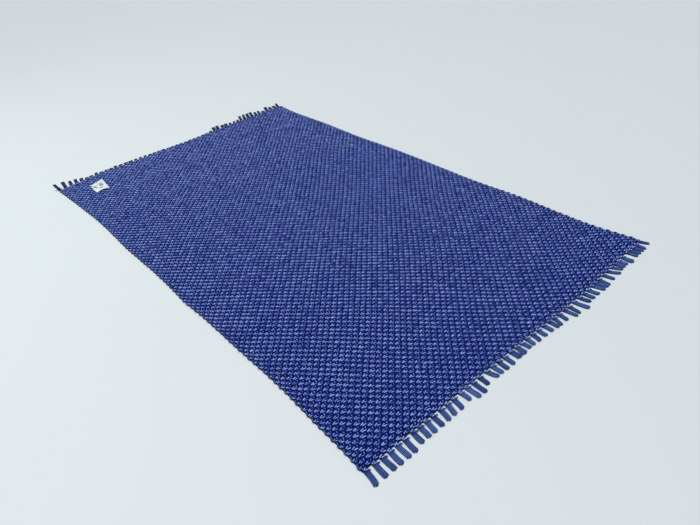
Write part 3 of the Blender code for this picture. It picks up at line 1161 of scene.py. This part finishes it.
@dataclass
class Fringe:
    """One end's fringe: locks of a few cords each, drawn out of the cloth below its last pick.

    Attributes:
        layout: Where the cloth lies.
        end: Which end it is.
        clusters: Rows of like locks: root, count, pitch, lean, step, reach, width, lift.
        cords: Cords in a lock.
        root_width: Width of a lock where it leaves the cloth.
        cord_height: Height of a cord where it leaves the cloth.
        lift_power: How late along its length a raised lock rises.
        inset: How far inside the cloth a cord starts.
        rounding: How much shorter than its lock a cord at the lock's very side would be.
        uneven: Usual difference of the cords' lengths.
        sway: How far a lock waves sideways.
        root_rise: Height of a cord's underside where it starts.
        bulge: How much higher a lock is in its middle.
        taper: How much of its height a cord loses towards its tip, as a share.
    """

    layout: ClothLayout
    end: End
    clusters: Rows
    cords: int = 4
    root_width: float = 0.020
    cord_height: float = 0.0056
    lift_power: float = 1.7
    inset: float = 0.006
    rounding: float = 0.0060
    uneven: float = 0.0007
    sway: float = 0.0018
    root_rise: float = 0.0026
    bulge: float = 0.0005
    taper: float = 0.22

    def locks(self) -> Array:
        """Write out each lock of the clusters.

        Returns:
            One row for each lock: root, half root width, lean, reach, half tip width, lift.
        """
        rows = []
        for root, count, pitch, lean, step, reach, width, lift in self.clusters:
            for index in range(int(count)):
                place = root + index * pitch
                rows.append([place, self.root_width / 2, lean + index * step, reach, width / 2, lift])
        locks = np.array(rows)
        room = (np.diff(locks[:, 0]) - 0.0015) / 2
        locks[:-1, 1] = np.minimum(locks[:-1, 1], room)
        locks[1:, 1] = np.minimum(locks[1:, 1], room)
        return locks

    def make(self, name: str, material: bpy.types.Material) -> bpy.types.Object:
        """Make the fringe.

        Along a cord s runs from 0, inside the cloth, to 1 at the tip. Sideways it keeps its share
        of the lock's width, plus the lean times s^1.3 and a small wave. That width changes evenly
        from the root to the tip, times 0.92 + 0.13 s. Its middle comes down to lie on the floor
        and then rises with the lift. Its half width and height shrink to a rounded tip. The crest,
        the painted light, is a high power of the ring's sine, so that each cord shows one narrow
        painted highlight along its top, with painted shade below it and near the root, where it
        comes out from under the cloth.

        Args:
            name: The piece's name.
            material: The yarn's finish.

        Returns:
            The piece.
        """
        chance = np.random.default_rng(SEED + 30 + self.end.value)
        locks = self.locks()
        count, cords = len(locks), self.cords
        root, root_half, lean, reach, tip_half, lift = (locks[:, k][:, None, None] for k in range(6))
        s = CORD_RINGS[None, None, :]
        share = ((np.arange(cords) + 0.5) / cords * 2 - 1)[None, :, None]
        uneven = self.uneven * chance.normal(size=(count, cords, 1))
        distance = -self.inset + (reach + self.inset - self.rounding * share**2 + uneven) * s
        half = (root_half + (tip_half - root_half) * s) * (0.92 + 0.13 * s)
        sway = self.sway * np.sin(4.0 * s + chance.uniform(0, 6.3, (count, 1, 1)))
        x = root + share * half * 0.98 + lean * s**1.3 + sway * s
        across_end = self.layout.side_x(np.array(float(self.end.value)))
        across = (root - across_end[0]) / (across_end[1] - across_end[0]) * 2 - 1
        edge = self.layout.end_y(across)[0 if self.end is End.NEAR else 1]
        y = edge + self.end.value * distance
        tip = np.sqrt(np.clip(1 - ((s - 0.90) / 0.10).clip(0, 1) ** 2, 0.03, 1))
        tall = self.cord_height / 2 * (1 - self.taper * s) * tip
        wide = half / cords * 1.06 * (0.55 + 0.45 * tip)
        low = self.root_rise * (1 - smooth_step(s, 0.0, 0.30)) + lift * s**self.lift_power
        bulge = self.bulge * (1 - np.abs(share)) * (1 + chance.normal(size=(count, cords, 1)) * 0.3)
        x, y, z, wide, tall = np.broadcast_arrays(x, y, low + tall + bulge, wide, tall)
        middle = np.stack([x, y, z], axis=-1).reshape(count * cords, -1, 3)
        wide, tall = (size.reshape(count * cords, -1, 1) for size in (wide, tall))
        ring = np.linspace(0, 2 * np.pi, 8, endpoint=False)[None, None, :]
        points = tube_points(middle, wide * np.cos(ring), tall * 0.94 * np.sin(ring))
        tone = 0.5 + chance.normal(0.0, 0.10, (count, 1, 1))
        tone = tone + chance.normal(0.0, 0.09, (count, cords, 1))
        along = distance.reshape(count * cords, -1, 1)
        # Painted shade near the root, where the cord comes out from under the cloth.
        painted_root_shade = 0.45 + 0.55 * smooth_step(along, 0.004, 0.018)
        # Painted light: one narrow highlight along the cord's top, painted shade below.
        crest = np.clip(np.sin(ring), 0.0, 1.0) ** 5.0 * painted_root_shade
        offset = np.arange(count * cords)[:, None, None] * 0.37
        uv = np.stack(np.broadcast_arrays(along + offset, ring * 0.0022 + offset), axis=-1)
        yarns = YarnMesh()
        yarns.add_tubes(points, tone.reshape(count * cords, 1, 1), crest, uv)
        return yarns.make(name, material)


# root, count, pitch, lean, step, reach, width, lift
NEAR_CLUSTERS: Rows = (
    (-0.748, 2, 0.033, -0.010, 0.003, 0.062, 0.019, 0.0),
    (-0.686, 4, 0.0297, -0.003, -0.001, 0.062, 0.019, 0.0),
    (-0.562, 4, 0.0283, -0.007, 0.000, 0.054, 0.019, 0.0),
    (-0.443, 3, 0.0295, -0.010, 0.000, 0.053, 0.019, 0.0),
    (-0.351, 1, 0.0300, 0.002, 0.000, 0.046, 0.018, 0.0),
    (-0.322, 2, 0.0300, 0.001, 0.000, 0.060, 0.019, 0.0),
    (-0.260, 1, 0.0300, -0.003, 0.000, 0.046, 0.018, 0.0),
    (-0.226, 2, 0.0320, 0.010, -0.011, 0.047, 0.018, 0.0),
    (-0.163, 2, 0.0300, -0.005, 0.000, 0.049, 0.019, 0.0),
    (-0.100, 2, 0.0290, 0.001, 0.000, 0.045, 0.026, 0.0),
    (-0.044, 2, 0.0310, 0.005, -0.011, 0.042, 0.018, 0.0),
    (0.017, 3, 0.0300, -0.007, 0.005, 0.044, 0.019, 0.0),
    (0.107, 2, 0.0280, 0.002, -0.010, 0.046, 0.016, 0.0),
    (0.163, 1, 0.0300, -0.001, 0.000, 0.044, 0.018, 0.0),
    (0.194, 2, 0.0290, 0.009, -0.012, 0.056, 0.015, 0.0),
    (0.256, 1, 0.0300, 0.008, 0.000, 0.064, 0.021, 0.0),
    (0.289, 3, 0.0300, 0.011, -0.002, 0.048, 0.019, 0.0),
    (0.380, 3, 0.0250, 0.015, -0.007, 0.051, 0.017, 0.0),
    (0.463, 2, 0.0310, 0.011, 0.012, 0.048, 0.018, 0.0),
    (0.527, 3, 0.0280, 0.017, -0.006, 0.042, 0.019, 0.0),
    (0.614, 1, 0.0300, 0.000, 0.000, 0.052, 0.026, 0.0),
    (0.654, 4, 0.0235, 0.008, -0.002, 0.046, 0.018, 0.0),
    (0.754, 1, 0.0300, 0.010, 0.000, 0.040, 0.017, 0.0),
)
FAR_CLUSTERS: Rows = (
    (-0.748, 1, 0.030, -0.018, 0.000, 0.046, 0.016, 0.030),
    (-0.717, 1, 0.030, -0.004, 0.000, 0.045, 0.020, 0.026),
    (-0.687, 1, 0.030, 0.006, 0.000, 0.042, 0.018, 0.016),
    (-0.656, 1, 0.030, 0.008, 0.000, 0.040, 0.018, 0.014),
    (-0.625, 1, 0.030, 0.008, 0.000, 0.036, 0.020, 0.008),
    (-0.594, 2, 0.030, 0.004, 0.000, 0.028, 0.024, 0.002),
    (-0.533, 1, 0.030, 0.002, 0.000, 0.034, 0.018, 0.004),
    (-0.503, 3, 0.030, 0.000, 0.000, 0.027, 0.026, 0.001),
    (-0.413, 1, 0.030, 0.000, 0.000, 0.033, 0.018, 0.003),
    (-0.383, 3, 0.030, 0.001, 0.000, 0.028, 0.027, 0.002),
    (-0.293, 3, 0.030, 0.003, 0.000, 0.030, 0.018, 0.002),
    (-0.203, 4, 0.030, 0.002, 0.000, 0.026, 0.026, 0.001),
    (-0.083, 4, 0.030, 0.001, 0.000, 0.022, 0.026, 0.0),
    (0.037, 6, 0.030, 0.000, 0.000, 0.018, 0.024, 0.0),
    (0.217, 1, 0.030, 0.002, 0.000, 0.024, 0.021, 0.003),
    (0.247, 2, 0.027, 0.003, 0.001, 0.038, 0.024, 0.014),
    (0.309, 2, 0.028, 0.004, 0.000, 0.032, 0.024, 0.008),
    (0.367, 3, 0.028, 0.004, 0.001, 0.026, 0.016, 0.006),
    (0.447, 2, 0.028, 0.012, 0.000, 0.040, 0.019, 0.020),
    (0.505, 2, 0.028, 0.008, 0.000, 0.040, 0.022, 0.018),
    (0.563, 2, 0.028, 0.006, -0.002, 0.034, 0.017, 0.010),
    (0.621, 1, 0.030, 0.002, 0.000, 0.022, 0.021, 0.004),
    (0.651, 1, 0.030, 0.004, 0.000, 0.038, 0.024, 0.018),
    (0.682, 2, 0.030, 0.002, 0.000, 0.030, 0.024, 0.010),
    (0.738, 1, 0.030, 0.004, 0.000, 0.036, 0.018, 0.016),
)


# The care label


@dataclass
class CareLabel:
    """A small cloth label, sewn down along its sides, with one corner curled up.

    Attributes:
        layout: Where the cloth lies.
        middle: x and y of its middle.
        width: Its size across.
        length: Its size along.
        thickness: Of its cloth.
        bed: Height of the cloth's yarns that it lies on.
        corner_curl: Rise of its far right corner.
        hem_arch: Rise of the middle of its near hem.
        side_curl: Rise of its far left corner.
        crease_rise: Rise of the crease that runs in from its left side.
        waviness: How far its sides wave.
        stitch_sides: Places across it, from 0 to 1, of its rows of stitches.
        stitch_span: Places along it, from 0 to 1, of a row's first and last stitch.
        stitches: Stitches in a row.
        stitch_half: Half a stitch's length, as a share of the label's.
        stitch_rise: Rise of a stitch's middle.
        thread: Radius of the thread.
    """

    layout: ClothLayout
    middle: tuple[float, float] = (-0.586, 1.100)
    width: float = 0.075
    length: float = 0.092
    thickness: float = 0.0007
    bed: float = 0.0094
    corner_curl: float = 0.022
    hem_arch: float = 0.005
    side_curl: float = 0.002
    crease_rise: float = 0.005
    waviness: float = 0.0012
    stitch_sides: tuple[float, float] = (0.05, 0.95)
    stitch_span: tuple[float, float] = (0.06, 0.62)
    stitches: int = 12
    stitch_half: float = 0.016
    stitch_rise: float = 0.0004
    thread: float = 0.0005

    def rise(self, across: Array, along: Array) -> Array:
        """Find its rise above the cloth: a curled corner, an arched hem and a crease.

        The crease climbs steeply from the near side of its slanting line and falls slowly beyond.

        Args:
            across: Places across it, from 0 to 1.
            along: Places along it, from 0 to 1.

        Returns:
            The rise, in metres.
        """
        corner = self.corner_curl * np.clip(across * 0.55 + along * 1.2 - 0.75, 0, 1) ** 1.6
        hem = self.hem_arch * np.sin(np.pi * across) ** 2 * (1 - along) ** 3
        side = self.side_curl * (1 - across) ** 4 * along
        line = (along - 0.62 - 0.30 * across) / 0.05
        ridge = np.exp(-np.where(line < 0, (3 * line) ** 2, (line / 3) ** 2))
        return corner + hem + side + self.crease_rise * ridge * (1 - across) ** 1.5

    def surface(self, across: Array, along: Array, above: float) -> Array:
        """Find the places in space of its own places.

        Args:
            across: Places across it, from 0 to 1.
            along: Places along it, from 0 to 1.
            above: Height above its lower face.

        Returns:
            The places, in metres.
        """
        x = self.middle[0] + (across - 0.5) * self.width
        y = self.middle[1] + (along - 0.5) * self.length
        x = x + self.waviness * np.sin(9 * along) * (0.5 - across)
        z = self.bed + self.layout.wave(x, y) + self.rise(across, along) + above
        return np.stack([x, y, z], axis=-1)

    def make(self, material: bpy.types.Material) -> bpy.types.Object:
        """Make the label as a closed thin sheet.

        Args:
            material: The label cloth's finish.

        Returns:
            The piece.
        """
        across, along = np.meshgrid(np.linspace(0, 1, 31), np.linspace(0, 1, 37))
        top = self.surface(across, along, self.thickness)
        bottom = self.surface(across, along, 0.0)
        uv = np.stack([across * self.width, along * self.length], axis=-1)
        return sheet_shell("care_label_cloth", top, bottom, uv, (material,))

    def make_stitches(self, material: bpy.types.Material) -> bpy.types.Object:
        """Make the rows of stitches just inside its two sides.

        Each stitch is a short thread whose middle line rises and dips as half a sine.

        Args:
            material: The thread's finish.

        Returns:
            The piece.
        """
        threads = YarnMesh()
        ring = np.linspace(0, 2 * np.pi, 6, endpoint=False)[None, None, :]
        s = np.linspace(-1, 1, 5)[None, :]
        start = np.linspace(*self.stitch_span, self.stitches)[:, None]
        for side in self.stitch_sides:
            along = start + self.stitch_half * s
            middle = self.surface(np.full(along.shape, side), along, self.thickness)
            middle[..., 2] += self.stitch_rise * np.cos(s * np.pi / 2) - 0.0001
            points = tube_points(middle, self.thread * np.cos(ring), self.thread * np.sin(ring))
            uv = np.stack(np.broadcast_arrays(along[:, :, None] * 0.09, ring * self.thread), axis=-1)
            threads.add_tubes(points, np.array(0.5), np.array(1.0), uv)
        return threads.make("label_stitches", material)


# Studio


@dataclass
class Studio:
    """Floor, light and camera.

    Attributes:
        camera_place: Where the camera stands.
        camera_right: Its right-hand direction.
        camera_up: Its upward direction.
        lens: Its focal length in millimetres, for a sensor 36 mm wide.
        floor_half: Half the floor's side.
        sky: Colour of the even light from all round.
        sky_strength: Its strength.
    """

    camera_place: Place = (-1.3364, -2.0777, 1.4351)
    camera_right: Place = (0.75086, -0.65351, -0.09552)
    camera_up: Place = (0.44138, 0.38892, 0.80866)
    lens: float = 30.42
    floor_half: float = 30.0
    sky: Colour = (0.94, 0.97, 1.0)
    sky_strength: float = 0.27

    def make_camera(self) -> None:
        """Stand the camera where the photograph was taken from."""
        data = bpy.data.cameras.new("camera")
        data.lens = self.lens
        data.sensor_width = 36.0
        camera = place_object("camera", data)
        right, up = Vector(self.camera_right), Vector(self.camera_up)
        turn = Matrix((right, up, right.cross(up))).transposed()
        camera.matrix_world = Matrix.Translation(Vector(self.camera_place)) @ turn.to_4x4()
        bpy.context.scene.camera = camera

    def make_floor(self, material: bpy.types.Material) -> None:
        """Make one large flat floor.

        Args:
            material: The floor's finish.
        """
        mesh = bpy.data.meshes.new("floor")
        half = self.floor_half
        corners = [(-half, -half, 0), (half, -half, 0), (half, half, 0), (-half, half, 0)]
        mesh.from_pydata(corners, [], [(0, 1, 2, 3)])
        mesh.materials.append(material)
        floor = place_object("floor", mesh)
        floor.location.z = -0.0002

    def make_window(self, name: str, place: Place, target: Place, size: float, power: float) -> None:
        """Hang one large soft square light.

        Args:
            name: The light's name.
            place: Where it hangs.
            target: The place towards which it is turned.
            size: Its side.
            power: Its power in watts.
        """
        data = bpy.data.lights.new(name, "AREA")
        data.shape = "SQUARE"
        data.size = size
        data.energy = power
        light = place_object(name, data)
        aim = (Vector(target) - Vector(place)).to_track_quat("-Z", "Y").to_matrix().to_4x4()
        light.matrix_world = Matrix.Translation(Vector(place)) @ aim

    def make_sun(self, name: str, source: Place, strength: float, spread: float) -> None:
        """Light everything evenly from one side, as a wide softbox far away does.

        Args:
            name: The light's name.
            source: The direction from which it comes.
            strength: Its strength.
            spread: The angle that it fills in the sky, in degrees.
        """
        data = bpy.data.lights.new(name, "SUN")
        data.energy = strength
        data.angle = np.radians(spread)
        light = place_object(name, data)
        light.matrix_world = Vector(source).to_track_quat("Z", "Y").to_matrix().to_4x4()

    def make(self) -> None:
        """Make the floor, a pale even sky, two soft lights and the camera."""
        self.make_floor(FloorFinish().make())
        world = bpy.data.worlds.new("studio")
        world.use_nodes = True
        background = world.node_tree.nodes["Background"]
        background.inputs["Color"].default_value = (*self.sky, 1.0)
        background.inputs["Strength"].default_value = self.sky_strength
        bpy.context.scene.world = world
        self.make_sun("softbox", source=(0.0, 0.30, 1.0), strength=2.62, spread=45.0)
        place, target = (-2.2, 2.0, 3.0), (-0.2, 0.0, 0.0)
        self.make_window("window", place, target, size=2.5, power=36.0)
        bpy.context.scene.view_settings.view_transform = "Standard"
        bpy.context.scene.view_settings.look = "None"
        self.make_camera()


# Putting it together


def settle(piece: bpy.types.Object, slot: Slot, *nodes: str) -> None:
    """Let a piece ride on the part and stand for its solids.

    Args:
        piece: The piece.
        slot: What it is dressed as. Not used.
        nodes: The part's nodes that it replaces, if any.
    """
    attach(piece, BODY)
    if nodes:
        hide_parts(*nodes)


def main() -> None:
    logging.basicConfig(level=logging.INFO, format="%(name)s: %(message)s")
    layout = ClothLayout()
    weave = Weave(layout)
    weft, warp, selvedge, near_yarn, far_yarn = (finish.make() for finish in YARNS)
    inside, underside = (finish.make() for finish in WEAVES)

    ground = weave.make_ground(inside, underside)
    settle(ground, Slot.CLOTH, "rug_cloth")
    floats = weave.make_strands("weft_floats", (FAR_STRAND, NEAR_STRAND), weave.float_parts, weft)
    dashes = weave.make_strands("warp_dashes", (WARP_DASH,), weave.dash_parts, warp)
    yarns = [*floats, *dashes, weave.make_turnings(selvedge)]
    for piece in yarns:
        settle(piece, Slot.CLOTH)
    near_fringe = Fringe(layout, End.NEAR, NEAR_CLUSTERS)
    far_fringe = Fringe(layout, End.FAR, FAR_CLUSTERS)
    near = near_fringe.make("near_fringe_locks", near_yarn)
    settle(near, Slot.NEAR_FRINGE, "fringe_near")
    far = far_fringe.make("far_fringe_locks", far_yarn)
    settle(far, Slot.FAR_FRINGE, "fringe_far")
    bindings = weave.make_bindings(near_fringe, weft)
    settle(bindings, Slot.CLOTH)
    label = CareLabel(layout)
    tag = label.make(LabelFinish().make())
    settle(tag, Slot.LABEL, "care_label")
    stitches = label.make_stitches(ThreadFinish().make())
    settle(stitches, Slot.LABEL)

    Studio().make()


if __name__ == "__main__":
    main()
